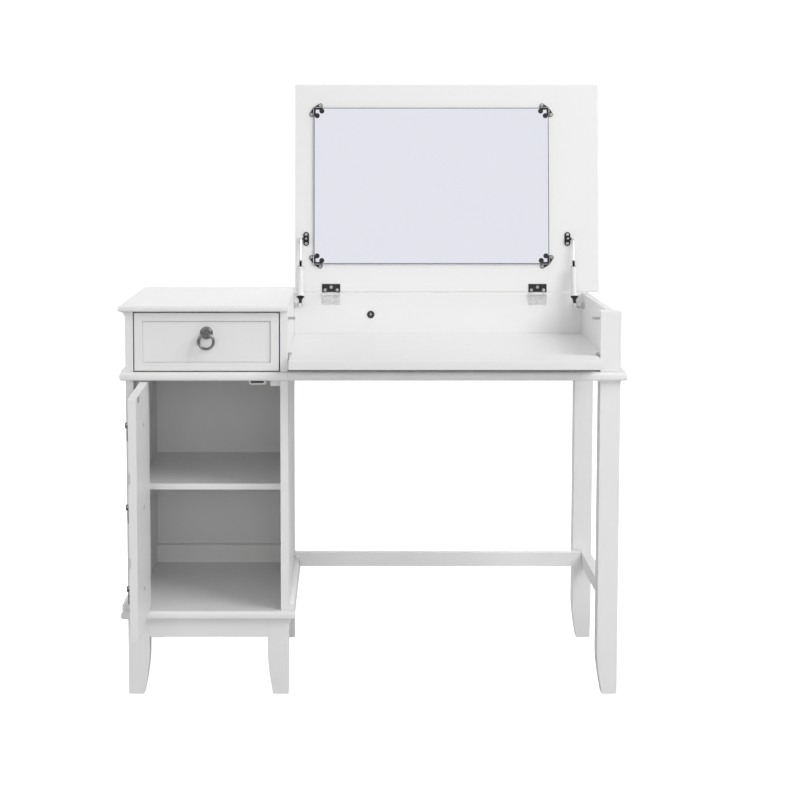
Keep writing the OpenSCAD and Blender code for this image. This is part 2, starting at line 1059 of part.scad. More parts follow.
module stay_tube(x) {
    color([0.86, 0.86, 0.86])
        stay_pose(x)
            difference() {
                union() {
                    rod_x_centred(eye_r, 6);
                    cylinder(r = 3, h = tube_z0 + 1);
                    translate([0, 0, tube_z0])
                        cylinder(r = tube_r, h = tube_z1 - tube_z0);
                    translate([0, 0, tube_z0])
                        cylinder(r = tube_r + 0.8, h = 3.5);
                    translate([0, 0, tube_z1 - 3.5])
                        cylinder(r = tube_r + 0.8, h = 3.5);
                }
                rod_x_centred(2.5 + run_fit, 8);
                translate([0, 0, tube_z0 + 3])
                    cylinder(r = rod_r + run_fit, h = tube_z1);
            }
}

module stay_rod(x) {
    rod_z0 = stay_l - (stay_short - tube_z0 - 4.5);
    color(steel)
        stay_pose(x)
            difference() {
                union() {
                    translate([0, 0, rod_z0])
                        cylinder(r = rod_r, h = stay_l - rod_z0);
                    translate([0, 0, stay_l])
                        rod_x_centred(eye_r, 6);
                }
                translate([0, 0, stay_l])
                    rod_x_centred(2.5 + run_fit, 8);
            }
}

module stay_cylinder_left() {
    stay_tube(stay_x[0]);
}

module stay_cylinder_right() {
    stay_tube(stay_x[1]);
}

module stay_rod_left() {
    stay_rod(stay_x[0]);
}

module stay_rod_right() {
    stay_rod(stay_x[1]);
}

// Ring pulls, drawn on a face at y = 0 that looks along -y, centred on the rosette

module pull_base() {
    difference() {
        union() {
            rotate([90, 0, 0])
                rotate_extrude()
                    polygon([
                        [0, 0], [rosette_r, 0], [rosette_r, 1.2], [rosette_r - 1, 2.2],
                        [rosette_r - 3.2, 2.4], [rosette_r - 3.8, 3.4], [0, 3.6]
                    ]);
            translate([0, -post_l, -pull_drop])
                rod_y(post_r, post_l);
        }
        translate([0, ring_y, -pull_drop])
            rod_x_centred(ring_hole, 30);
        translate([0, -3, 0])
            rod_y(pull_screw_r + pilot, 4);
    }
}

// The hole leaves room for the curve of the wire on its way through the post
wire_bend = asin(post_r / ring_r);
ring_hole = wire_r / cos(wire_bend) + ring_r * (1 - cos(wire_bend)) + 0.15;
pull_screw_r = 2;

module ring() {
    translate([0, ring_y, -pull_drop - ring_r])
        rotate([90, 0, 0])
            rotate_extrude()
                translate([ring_r, 0])
                    circle(r = wire_r);
}

// Screw from behind a front of the given thickness into a pull base
module pull_screw(t) {
    translate([0, t, 0])
        rotate([90, 0, 0])
            screw(4, pull_screw_r, t + 2);
}

module pull_screw_hole(t) {
    translate([0, -1, 0])
        rod_y(pull_screw_r + pilot, t + 2);
}

// Drawer

drawer_x0 = x_in0 + front_gap;
drawer_x1 = x_in1 - front_gap;
drawer_z0 = z_box + front_gap;
drawer_z1 = z_top - 1.4 * front_gap;
drawer_mid = (drawer_x0 + drawer_x1) / 2;
drawer_pull_z = (drawer_z0 + drawer_z1) / 2 + pull_up;

// Width and extra depth of the groove that outlines a field
groove_w = 1.6;
groove_d = 2;

// Recess for a raised border round a field from x0 to x1 and z0 to z1, with a groove at its foot
module field(x0, x1, z0, z1) {
    w = border_w;
    g = border_w + groove_w;
    board([x0 + w, -1, z0 + w], [x1 - w, field_d, z1 - w]);
    difference() {
        board([x0 + w, -1, z0 + w], [x1 - w, field_d + groove_d, z1 - w]);
        board([x0 + g, -2, z0 + g], [x1 - g, field_d + groove_d + 1, z1 - g]);
    }
}

module drawer_front() {
    color(paint)
        difference() {
            board([drawer_x0, 0, drawer_z0], [drawer_x1, front_t, drawer_z1]);
            field(drawer_x0, drawer_x1, drawer_z0, drawer_z1);
            translate([drawer_mid, 0, drawer_pull_z])
                pull_screw_hole(front_t);
        }
}

// Drawer box: side play, free height above it, and its bottom board
box_play = 2;
box_x0 = x_in0 + box_play;
box_x1 = x_in1 - box_play;
box_z0 = z_box + runner_h + slip;
box_z1 = z_top - 18;
bottom_t = 4;

module drawer_sides() {
    color(inner_wood)
        for (x = [box_x0, box_x1 - drawer_t])
            board([x, front_t, box_z0], [x + drawer_t, drawer_l, box_z1]);
}

module drawer_back() {
    color(inner_wood)
        board([box_x0 + drawer_t, drawer_l - drawer_t, box_z0], [box_x1 - drawer_t, drawer_l, box_z1]);
}

module drawer_bottom() {
    z = box_z0 + 6;
    color(inner_wood)
        board([box_x0 + drawer_t, front_t, z], [box_x1 - drawer_t, drawer_l - drawer_t, z + bottom_t]);
}

module drawer_pull_base() {
    color(nickel)
        translate([drawer_mid, field_d, drawer_pull_z]) {
            pull_base();
            pull_screw(front_t - field_d);
        }
}

module drawer_ring() {
    color(nickel)
        translate([drawer_mid, field_d, drawer_pull_z])
            ring();
}

// Door, drawn closed and then turned open on its pins

module door_pose() {
    translate([pivot_x, pivot_y, 0])
        rotate([0, 0, -door_open])
            translate([-pivot_x, -pivot_y, 0])
                children();
}

door_x1 = door_x0 + door_w;
third = (door_z1 - door_z0 - 2 * rail_gap) / 3;
door_mid = (door_x0 + door_x1) / 2;
door_pull_zs = [for (i = [2, 1, 0]) door_z0 + i * (third + rail_gap) + third / 2];

module door_panel() {
    color(paint)
        door_pose()
            difference() {
                board([door_x0, 0, door_z0], [door_x1, front_t, door_z1]);
                for (i = [0 : 2]) {
                    z0 = door_z0 + i * (third + rail_gap);
                    field(door_x0, door_x1, z0, z0 + third);
                    if (i > 0)
                        board([door_x0 - 1, -1, z0 - rail_gap], [door_x1 + 1, field_d, z0]);
                }
                for (z = door_pull_zs)
                    translate([door_mid, 0, z])
                        pull_screw_hole(front_t);
                door_pins(pin_r + run_fit);
            }
}

module door_pull_bases() {
    color(nickel)
        door_pose()
            for (z = door_pull_zs)
                translate([door_mid, field_d, z])
                    pull_base();
}

// Screws of the pulls and the strike plate for the catch
module door_hardware() {
    color(steel)
        door_pose() {
            for (z = door_pull_zs)
                translate([door_mid, field_d, z])
                    pull_screw(front_t - field_d);
            board([magnet_x[0], front_t, strike_z0], [magnet_x[1], front_t + strike_t, magnet_z[1]]);
        }
}

module door_ring(i) {
    color(nickel)
        door_pose()
            translate([door_mid, field_d, door_pull_zs[i]])
                ring();
}

module door_ring_top() {
    door_ring(0);
}

module door_ring_middle() {
    door_ring(1);
}

module door_ring_bottom() {
    door_ring(2);
}

// Drop front, drawn closed and then turned down on its pins

module drop_front() {
    color(paint)
        translate([0, drop_y, drop_z])
            rotate([90, 0, 0])
                translate([0, -drop_y, -drop_z])
                    difference() {
                        board([panel_x0, 0, panel_z0], [panel_x1, panel_t, panel_z1]);
                        field(panel_x0, panel_x1, panel_z0, panel_z1);
                        drop_pins(pin_r + run_fit);
                    }
}

at_origin() cabinet_top();
at_origin() side_left_lower();
at_origin() side_right_lower();
at_origin() side_left_upper();
at_origin() side_right_upper();
at_origin() back_panels();
at_origin() base_board();
at_origin() waist_board();
at_origin() waist_rail_front();
at_origin() waist_rail_side();
at_origin() waist_rail_rear();
at_origin() side_coves();
at_origin() shelf();
at_origin() shelf_pins();
at_origin() back_rail();
at_origin() aprons();
at_origin() cabinet_feet();
at_origin() right_legs();
at_origin() corner_post();
at_origin() foot_glides();
at_origin() leg_bolts();
at_origin() tray_floor();
at_origin() tray_battens();
at_origin() tray_rear_wall();
at_origin() tray_right_wall();
at_origin() cable_grommet();
at_origin() stretcher_rear();
at_origin() stretcher_side();
at_origin() drawer_runners();
at_origin() door_catch();
at_origin() catch_magnet();
at_origin() stop_block();
at_origin() pivot_pins();
at_origin() panel_catches();
at_origin() hinge_fixed_leaves();
at_origin() hinge_hardware();
at_origin() stay_brackets();
at_origin() lid_board();
at_origin() mirror_glass();
at_origin() mirror_clips();
at_origin() hinge_lid_leaves();
at_origin() lid_screws();
at_origin() stay_plates();
at_origin() stay_cylinder_left();
at_origin() stay_rod_left();
at_origin() stay_cylinder_right();
at_origin() stay_rod_right();
at_origin() drawer_front();
at_origin() drawer_sides();
at_origin() drawer_back();
at_origin() drawer_bottom();
at_origin() drawer_pull_base();
at_origin() drawer_ring();
at_origin() door_panel();
at_origin() door_pull_bases();
at_origin() door_hardware();
at_origin() door_ring_top();
at_origin() door_ring_middle();
at_origin() door_ring_bottom();
at_origin() drop_front();
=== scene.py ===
import json
import math
import bmesh
import bpy
from mathutils import Matrix, Vector


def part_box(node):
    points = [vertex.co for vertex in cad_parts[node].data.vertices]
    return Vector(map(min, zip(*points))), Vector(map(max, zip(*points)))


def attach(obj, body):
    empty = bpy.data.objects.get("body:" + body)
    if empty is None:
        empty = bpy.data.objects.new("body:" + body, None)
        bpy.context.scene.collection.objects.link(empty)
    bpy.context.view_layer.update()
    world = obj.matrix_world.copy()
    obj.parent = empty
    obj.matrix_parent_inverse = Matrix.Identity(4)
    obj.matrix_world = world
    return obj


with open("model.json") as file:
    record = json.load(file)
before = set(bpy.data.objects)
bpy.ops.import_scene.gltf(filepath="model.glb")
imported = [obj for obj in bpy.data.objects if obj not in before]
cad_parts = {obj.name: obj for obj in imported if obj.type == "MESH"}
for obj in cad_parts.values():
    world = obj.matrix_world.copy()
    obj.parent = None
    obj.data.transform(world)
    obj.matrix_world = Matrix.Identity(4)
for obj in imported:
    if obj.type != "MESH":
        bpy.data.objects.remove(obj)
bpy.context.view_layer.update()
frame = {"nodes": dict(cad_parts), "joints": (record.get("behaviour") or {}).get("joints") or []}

# ---- Studio: floor, light and camera --------------------------------------------------------------
# A plain white studio floor in a white room. The strongest softbox hangs high at the right and the
# next one behind; those in front, at the left and overhead are weaker.
# The camera stands at chest height, square to the front, and looks a little down.


def new_finish(name):
    """A material with a bare shader, ready for a finish to be mixed on it."""
    finish = bpy.data.materials.new(name)
    finish.use_nodes = True
    nodes = finish.node_tree.nodes
    return finish, nodes, finish.node_tree.links, nodes["Principled BSDF"]


def lay_floor():
    half = 14.0
    mesh = bpy.data.meshes.new("studio_floor")
    corners = [(-half, -half, 0), (half, -half, 0), (half, half, 0), (-half, half, 0)]
    mesh.from_pydata(corners, [], [(0, 1, 2, 3)])
    floor = bpy.data.objects.new("studio_floor", mesh)
    bpy.context.scene.collection.objects.link(floor)
    sheet, nodes, links, shader = new_finish("studio_white")
    shader.inputs["Base Color"].default_value = (0.6, 0.6, 0.6, 1)
    shader.inputs["Roughness"].default_value = 0.9
    shader.inputs["Emission Color"].default_value = (1, 1, 1, 1)
    path = nodes.new("ShaderNodeLightPath")
    glow = nodes.new("ShaderNodeMath")
    glow.operation = "MULTIPLY"
    glow.inputs[1].default_value = 0.95
    links.new(path.outputs["Is Camera Ray"], glow.inputs[0])
    links.new(glow.outputs["Value"], shader.inputs["Emission Strength"])
    mesh.materials.append(sheet)


def hang_softbox(name, at, aim, size, power, mirrored=True):
    lamp = bpy.data.lights.new(name, "AREA")
    lamp.shape = "RECTANGLE"
    lamp.size, lamp.size_y = size
    lamp.energy = power
    box = bpy.data.objects.new(name, lamp)
    box.location = at
    box.rotation_euler = (Vector(aim) - Vector(at)).to_track_quat("-Z", "Y").to_euler()
    box.visible_glossy = mirrored
    bpy.context.scene.collection.objects.link(box)


def light_room(room, seen, mirrored):
    """A white room: dim as a light, pale with grey sides in a mirror, and full white to the camera."""
    world = bpy.data.worlds.new("white_room")
    world.use_nodes = True
    nodes, links = world.node_tree.nodes, world.node_tree.links
    wall = nodes["Background"]
    wall.inputs["Color"].default_value = (0.98, 0.985, 1.0, 1)
    wall.inputs["Strength"].default_value = room
    backdrop = nodes.new("ShaderNodeBackground")
    backdrop.inputs["Color"].default_value = (1, 1, 1, 1)
    backdrop.inputs["Strength"].default_value = seen
    reflection = nodes.new("ShaderNodeBackground")
    reflection.inputs["Color"].default_value = (0.98, 0.985, 1.0, 1)
    looking = nodes.new("ShaderNodeTexCoord")
    ways = nodes.new("ShaderNodeSeparateXYZ")
    links.new(looking.outputs["Generated"], ways.inputs["Vector"])
    sideways = nodes.new("ShaderNodeMath")
    sideways.operation = "ABSOLUTE"
    links.new(ways.outputs["X"], sideways.inputs[0])
    both = nodes.new("ShaderNodeMath")
    both.operation = "MULTIPLY"
    for slot, (way, low, high, dark) in enumerate(
            ((sideways.outputs["Value"], 0.3, 0.8, 0.42), (ways.outputs["Z"], 0.4, 0.8, 0.4))):
        flag = nodes.new("ShaderNodeMapRange")
        flag.inputs["From Min"].default_value, flag.inputs["From Max"].default_value = low, high
        flag.inputs["To Min"].default_value = mirrored if slot == 0 else 1.0
        flag.inputs["To Max"].default_value = dark
        links.new(way, flag.inputs["Value"])
        links.new(flag.outputs["Result"], both.inputs[slot])
    links.new(both.outputs["Value"], reflection.inputs["Strength"])
    path = nodes.new("ShaderNodeLightPath")
    shine = nodes.new("ShaderNodeMixShader")
    links.new(path.outputs["Is Glossy Ray"], shine.inputs["Fac"])
    links.new(wall.outputs["Background"], shine.inputs[1])
    links.new(reflection.outputs["Background"], shine.inputs[2])
    mix = nodes.new("ShaderNodeMixShader")
    links.new(path.outputs["Is Camera Ray"], mix.inputs["Fac"])
    links.new(shine.outputs["Shader"], mix.inputs[1])
    links.new(backdrop.outputs["Background"], mix.inputs[2])
    links.new(mix.outputs["Shader"], nodes["World Output"].inputs["Surface"])
    bpy.context.scene.world = world


def stand_camera():
    lens = bpy.data.cameras.new("camera")
    lens.sensor_width = 36.0
    lens.lens = 87.6
    lens.shift_x, lens.shift_y = 0.063, -0.1
    lens.clip_end = 60.0
    camera = bpy.data.objects.new("camera", lens)
    camera.location = (-0.0454, -3.8447, 1.0873)
    camera.rotation_euler = (math.radians(84.568), 0, 0)
    bpy.context.scene.collection.objects.link(camera)
    bpy.context.scene.camera = camera


lay_floor()
light_room(room=0.228, seen=1.05, mirrored=0.9)
hang_softbox("softbox_front", (0.1, -4.6, 1.1), (0.1, 0.0, 0.6), (3.2, 1.6), 40, False)
hang_softbox("softbox_front_high", (0.1, -4.2, 3.2), (0.1, 0.0, 0.6), (2.6, 2.0), 18, False)
hang_softbox("softbox_right", (2.8, -1.9, 3.2), (0.0, -0.1, 0.6), (2.6, 2.4), 112)
hang_softbox("softbox_left", (-3.4, -1.0, 2.4), (-0.2, 0.0, 0.6), (2.4, 2.4), 16)
hang_softbox("softbox_left_behind", (-3.4, 1.4, 1.9), (0.0, 0.1, 0.5), (2.2, 2.0), 30, False)
hang_softbox("softbox_overhead", (-0.2, 0.5, 3.0), (-0.1, 0.1, 0.6), (2.6, 2.0), 15)
hang_softbox("softbox_behind", (0.0, 4.2, 2.2), (0.0, 0.4, 0.5), (2.6, 2.0), 75, False)
stand_camera()
bpy.context.scene.view_settings.view_transform = "Standard"

# ---- Cabinet case ---------------------------------------------------------------------------------
# The left-hand cabinet is 15 mm board, glued and pinned: sides, back, a moulded base, a waist board
# and a top. All of it is sprayed with a satin white lacquer, which rounds and thins at the edges.


def soften(node, radius=0.0008, rings=2, limit=30):
    """Rounds a board's arrises as sanding and lacquer do, and shades its flats as flat."""
    board = frame["nodes"][node]
    weld = board.modifiers.new("joined", "WELD")
    weld.merge_threshold = 0.000002
    flat = board.modifiers.new("flats", "DECIMATE")
    flat.decimate_type = "DISSOLVE"
    flat.angle_limit = math.radians(0.4)
    if radius > 0:
        arris = board.modifiers.new("arris", "BEVEL")
        arris.width = radius
        arris.segments = rings
        arris.limit_method = "ANGLE"
        arris.angle_limit = math.radians(limit)
        arris.loop_slide = False
        arris.use_clamp_overlap = False
        arris.miter_outer = "MITER_ARC"
    normal = board.modifiers.new("normals", "WEIGHTED_NORMAL")
    normal.weight = 90
    for face in board.data.polygons:
        face.use_smooth = True
    return board


def dress(node, finish):
    board = frame["nodes"][node]
    board.data.materials.clear()
    board.data.materials.append(finish)


def new_effect(name, takes, gives):
    """An empty node group with named inputs and outputs."""
    kinds = {"color": "NodeSocketColor", "number": "NodeSocketFloat", "place": "NodeSocketVector"}
    effect = bpy.data.node_groups.new(name, "ShaderNodeTree")
    for label, kind, start in takes:
        effect.interface.new_socket(label, in_out="INPUT", socket_type=kinds[kind]).default_value = start
    for label, kind in gives:
        effect.interface.new_socket(label, in_out="OUTPUT", socket_type=kinds[kind])
    nodes = effect.nodes
    return effect, nodes, effect.links, nodes.new("NodeGroupInput"), nodes.new("NodeGroupOutput")


def place_noise(nodes, links, where, scale, detail=2.0, rough=0.5):
    noise = nodes.new("ShaderNodeTexNoise")
    noise.inputs["Scale"].default_value = scale
    noise.inputs["Detail"].default_value = detail
    noise.inputs["Roughness"].default_value = rough
    links.new(where, noise.inputs["Vector"])
    return noise.outputs["Fac"]


def remap(nodes, links, value, low, high, to_low, to_high):
    ramp = nodes.new("ShaderNodeMapRange")
    for label, number in (("From Min", low), ("From Max", high), ("To Min", to_low), ("To Max", to_high)):
        ramp.inputs[label].default_value = number
    links.new(value, ramp.inputs["Value"])
    return ramp.outputs["Result"]


def reckon(nodes, links, operation, first, second):
    maths = nodes.new("ShaderNodeMath")
    maths.operation = operation
    for socket, value in zip(maths.inputs, (first, second)):
        if isinstance(value, (int, float)):
            socket.default_value = value
        else:
            links.new(value, socket)
    return maths.outputs["Value"]


def mix_colour(nodes, links, tarnish_and_shade_share, first, second, blend="MIX"):
    mix = nodes.new("ShaderNodeMix")
    mix.data_type = "RGBA"
    mix.blend_type = blend
    links.new(tarnish_and_shade_share, mix.inputs[0])
    for socket, value in ((mix.inputs[6], first), (mix.inputs[7], second)):
        if isinstance(value, tuple):
            socket.default_value = value
        else:
            links.new(value, socket)
    return mix.outputs[2]


def convex_edges(nodes, links, reach):
    """1 on an outside edge and 0 on a flat: looks back into the solid for near surfaces."""
    inside = nodes.new("ShaderNodeAmbientOcclusion")
    inside.inside = True
    inside.only_local = True
    inside.samples = 4
    inside.inputs["Distance"].default_value = reach
    return remap(nodes, links, inside.outputs["AO"], 0.62, 0.25, 0.0, 1.0)


def make_lacquer_effect():
    """Sprayed lacquer: orange peel, faint cloudiness, and thinner, duller film along the edges."""
    effect, nodes, links, given, out = new_effect(
        "sprayed_lacquer",
        (("Paint", "color", (0.8, 0.8, 0.8, 1)), ("Thin Film", "color", (0.7, 0.68, 0.65, 1)),
         ("Board", "place", (0, 0, 0)), ("Edge Wear", "number", 0.5), ("Gloss Low", "number", 0.3),
         ("Gloss High", "number", 0.42)),
        (("Color", "color"), ("Roughness", "number"), ("Height", "number")))
    places = nodes.new("ShaderNodeTexCoord")
    shift = nodes.new("ShaderNodeVectorMath")
    shift.operation = "ADD"
    links.new(places.outputs["Object"], shift.inputs[0])
    links.new(given.outputs["Board"], shift.inputs[1])
    where = shift.outputs["Vector"]
    cloud = place_noise(nodes, links, where, 5.0, 3.0)
    smear = place_noise(nodes, links, where, 38.0, 4.0, 0.6)
    peel = place_noise(nodes, links, where, 420.0, 2.0, 0.45)
    fleck = place_noise(nodes, links, where, 160.0, 3.0, 0.65)
    edge = convex_edges(nodes, links, 0.0022)
    broken = reckon(nodes, links, "MULTIPLY", edge, remap(nodes, links, fleck, 0.35, 0.65, 0.25, 1.0))
    worn = reckon(nodes, links, "MULTIPLY", broken, given.outputs["Edge Wear"])
    shade = remap(nodes, links, cloud, 0.3, 0.7, 0.0, 0.035)
    toned = mix_colour(nodes, links, shade, given.outputs["Paint"], given.outputs["Thin Film"])
    links.new(mix_colour(nodes, links, worn, toned, given.outputs["Thin Film"]), out.inputs["Color"])
    gloss = nodes.new("ShaderNodeMix")
    links.new(remap(nodes, links, smear, 0.3, 0.7, 0.0, 1.0), gloss.inputs[0])
    links.new(given.outputs["Gloss Low"], gloss.inputs[2])
    links.new(given.outputs["Gloss High"], gloss.inputs[3])
    dull = reckon(nodes, links, "MULTIPLY", worn, 0.15)
    links.new(reckon(nodes, links, "ADD", gloss.outputs[0], dull), out.inputs["Roughness"])
    wave = reckon(nodes, links, "MULTIPLY", smear, 0.6)
    links.new(reckon(nodes, links, "ADD", peel, wave), out.inputs["Height"])
    return effect


lacquer_effect = make_lacquer_effect()


def white_lacquer(name, board=(0, 0, 0), paint=(0.83, 0.828, 0.825, 1), wear=0.35, peel=0.00006,
                  gloss=(0.30, 0.42)):
    finish, nodes, links, shader = new_finish(name)
    film = nodes.new("ShaderNodeGroup")
    film.node_tree = lacquer_effect
    film.inputs["Paint"].default_value = paint
    film.inputs["Thin Film"].default_value = (0.70, 0.685, 0.66, 1)
    film.inputs["Board"].default_value = board
    film.inputs["Edge Wear"].default_value = wear
    film.inputs["Gloss Low"].default_value = gloss[0]
    film.inputs["Gloss High"].default_value = gloss[1]
    links.new(film.outputs["Color"], shader.inputs["Base Color"])
    links.new(film.outputs["Roughness"], shader.inputs["Roughness"])
    bump = nodes.new("ShaderNodeBump")
    bump.inputs["Strength"].default_value = 1.0
    bump.inputs["Distance"].default_value = peel
    links.new(film.outputs["Height"], bump.inputs["Height"])
    links.new(bump.outputs["Normal"], shader.inputs["Normal"])
    shader.inputs["IOR"].default_value = 1.5
    shader.inputs["Specular IOR Level"].default_value = 0.42
    return finish


case_lacquer = white_lacquer("case_lacquer", board=(1.7, 0.4, 2.1))
for node in ("side_left_lower", "side_right_lower", "side_left_upper", "side_right_upper", "back_panels"):
    dress(node, case_lacquer)
    soften(node, 0.0006)
moulding_lacquer = white_lacquer("moulding_lacquer", board=(3.1, 1.9, 0.3), wear=0.5)
for node in ("base_board", "waist_board", "waist_rail_front", "waist_rail_side", "waist_rail_rear"):
    dress(node, moulding_lacquer)
    soften(node, 0.0008)
for node in ("side_coves", "back_rail", "aprons"):
    dress(node, case_lacquer)
    soften(node, 0.0005)
top_lacquer = white_lacquer("top_lacquer", board=(5.3, 0.2, 1.1), wear=0.4)
dress("cabinet_top", top_lacquer)
soften("cabinet_top", 0.0008)

# ---- Shelf ----------------------------------------------------------------------------------------
# One loose board inside the cabinet, lacquered like the case. It lies on four turned steel pins.

shelf_lacquer = white_lacquer("shelf_lacquer", board=(2.2, 4.4, 0.7), wear=0.45)
dress("shelf", shelf_lacquer)
soften("shelf", 0.0008)


def make_metal_effect():
    """Turned or stamped metal: fine scratches, cloudy plating, and painted shade darkening its hollows, which
    on antiqued metal is also its real patina.
    """
    effect, nodes, links, given, out = new_effect(
        "worked_metal",
        (("Metal", "color", (0.6, 0.6, 0.6, 1)), ("Shade And Tarnish", "color", (0.2, 0.2, 0.2, 1)),
         ("Shade And Tarnish Share", "number", 0.4), ("Polish", "number", 0.2), ("Dullness", "number", 0.4),
         ("Grain", "place", (1, 1, 1))),
        (("Color", "color"), ("Roughness", "number"), ("Height", "number")))
    places = nodes.new("ShaderNodeTexCoord")
    stretch = nodes.new("ShaderNodeVectorMath")
    stretch.operation = "MULTIPLY"
    links.new(places.outputs["Object"], stretch.inputs[0])
    links.new(given.outputs["Grain"], stretch.inputs[1])
    cloud = place_noise(nodes, links, places.outputs["Object"], 130.0, 4.0, 0.6)
    scratch = place_noise(nodes, links, stretch.outputs["Vector"], 900.0, 3.0, 0.55)
    # Painted shade: an occlusion mask darkens hollows and recesses towards the tarnish colour; on antiqued
    # metal this is also real patina.
    hollow = nodes.new("ShaderNodeAmbientOcclusion")
    hollow.only_local = True
    hollow.samples = 4
    hollow.inputs["Distance"].default_value = 0.004
    hollow_shade_and_patina = remap(nodes, links, hollow.outputs["AO"], 0.95, 0.35, 0.0, 1.0)
    patch = remap(nodes, links, cloud, 0.35, 0.7, 0.0, 0.5)
    patina_and_hollow_shade = reckon(nodes, links, "MULTIPLY", reckon(nodes, links, "MAXIMUM", hollow_shade_and_patina, patch),
                  given.outputs["Shade And Tarnish Share"])
    links.new(mix_colour(nodes, links, patina_and_hollow_shade, given.outputs["Metal"], given.outputs["Shade And Tarnish"]),
              out.inputs["Color"])
    rough = nodes.new("ShaderNodeMix")
    links.new(reckon(nodes, links, "MAXIMUM", patina_and_hollow_shade, remap(nodes, links, scratch, 0.3, 0.7, 0.0, 0.6)),
              rough.inputs[0])
    links.new(given.outputs["Polish"], rough.inputs[2])
    links.new(given.outputs["Dullness"], rough.inputs[3])
    links.new(rough.outputs[0], out.inputs["Roughness"])
    links.new(scratch, out.inputs["Height"])
    return effect


metal_effect = make_metal_effect()


def worked_metal(name, metal, tarnish_and_shade, tarnish_and_shade_share=0.5, polish=0.18, dullness=0.4, grain=(1, 1, 1), cut=0.00002):
    finish, nodes, links, shader = new_finish(name)
    skin = nodes.new("ShaderNodeGroup")
    skin.node_tree = metal_effect
    skin.inputs["Metal"].default_value = metal
    skin.inputs["Shade And Tarnish"].default_value = tarnish_and_shade
    skin.inputs["Shade And Tarnish Share"].default_value = tarnish_and_shade_share
    skin.inputs["Polish"].default_value = polish
    skin.inputs["Dullness"].default_value = dullness
    skin.inputs["Grain"].default_value = grain
    links.new(skin.outputs["Color"], shader.inputs["Base Color"])
    links.new(skin.outputs["Roughness"], shader.inputs["Roughness"])
    bump = nodes.new("ShaderNodeBump")
    bump.inputs["Distance"].default_value = cut
    links.new(skin.outputs["Height"], bump.inputs["Height"])
    links.new(bump.outputs["Normal"], shader.inputs["Normal"])
    shader.inputs["Metallic"].default_value = 1.0
    return finish


zinc_steel = worked_metal("zinc_steel", (0.70, 0.70, 0.69, 1), (0.22, 0.215, 0.21, 1), 0.6, 0.2, 0.42)
dress("shelf_pins", zinc_steel)
soften("shelf_pins", 0.0003)

# ---- Legs and feet --------------------------------------------------------------------------------
# Square tapered legs of solid wood: four short feet under the cabinet and two long legs at the right,
# each on a plastic glide and held by a bolt. A plain square post stands at the tray's front corner.

leg_lacquer = white_lacquer("leg_lacquer", board=(7.9, 2.8, 4.6), wear=0.6)
for node in ("cabinet_feet", "right_legs", "corner_post"):
    dress(node, leg_lacquer)
    soften(node, 0.0012, 3)


def moulded_plastic(name, colour, second, rough=(0.35, 0.5), grain=0.00003):
    """Injection-moulded plastic: a fine matt texture and a faint cloud in the colour."""
    finish, nodes, links, shader = new_finish(name)
    places = nodes.new("ShaderNodeTexCoord")
    cloud = place_noise(nodes, links, places.outputs["Object"], 90.0, 3.0)
    links.new(mix_colour(nodes, links, cloud, colour, second), shader.inputs["Base Color"])
    spark = place_noise(nodes, links, places.outputs["Object"], 1600.0, 2.0)
    links.new(remap(nodes, links, spark, 0.3, 0.7, rough[0], rough[1]), shader.inputs["Roughness"])
    bump = nodes.new("ShaderNodeBump")
    bump.inputs["Distance"].default_value = grain
    links.new(spark, bump.inputs["Height"])
    links.new(bump.outputs["Normal"], shader.inputs["Normal"])
    return finish


glide_plastic = moulded_plastic("glide_plastic", (0.72, 0.72, 0.70, 1), (0.60, 0.60, 0.58, 1))
dress("foot_glides", glide_plastic)
soften("foot_glides", 0.0008)
dress("leg_bolts", zinc_steel)
soften("leg_bolts", 0.0003)

# ---- Stretchers -----------------------------------------------------------------------------------
# Two low rails of 30 x 20 mm wood: one from the cabinet to the right-hand leg at the back, one from
# the front leg to the rear leg. Dowelled, and lacquered with the legs.

rail_lacquer = white_lacquer("rail_lacquer", board=(0.6, 6.1, 3.3), wear=0.5)
for node in ("stretcher_rear", "stretcher_side"):
    dress(node, rail_lacquer)
    soften(node, 0.001)

# ---- Tray -----------------------------------------------------------------------------------------
# The shallow box under the lid: a floor board on two battens, a rear wall that carries the lid's
# hinges and a right-hand wall. A plastic grommet with a slit rubber skin lines the cable hole.

tray_lacquer = white_lacquer("tray_lacquer", board=(9.4, 3.7, 5.8), wear=0.4)
for node in ("tray_floor", "tray_rear_wall", "tray_right_wall"):
    dress(node, tray_lacquer)
    soften(node, 0.0008)
dress("tray_battens", case_lacquer)
soften("tray_battens", 0.0006)
dark_plastic = moulded_plastic("dark_plastic", (0.020, 0.020, 0.022, 1), (0.035, 0.035, 0.037, 1))
dress("cable_grommet", dark_plastic)
soften("cable_grommet", 0.0005)


def add_piece(name, form, finish, body, rounded=0.0):
    """Turns a finished mesh form into a piece that rides on one of the part's bodies."""
    bmesh.ops.recalc_face_normals(form, faces=form.faces)
    mesh = bpy.data.meshes.new(name)
    form.to_mesh(mesh)
    form.free()
    mesh.materials.append(finish)
    for face in mesh.polygons:
        face.use_smooth = True
    piece = bpy.data.objects.new(name, mesh)
    bpy.context.scene.collection.objects.link(piece)
    if rounded > 0:
        arris = piece.modifiers.new("arris", "BEVEL")
        arris.width = rounded
        arris.segments = 2
        arris.limit_method = "ANGLE"
    piece.modifiers.new("normals", "WEIGHTED_NORMAL").weight = 90
    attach(piece, body)
    return piece


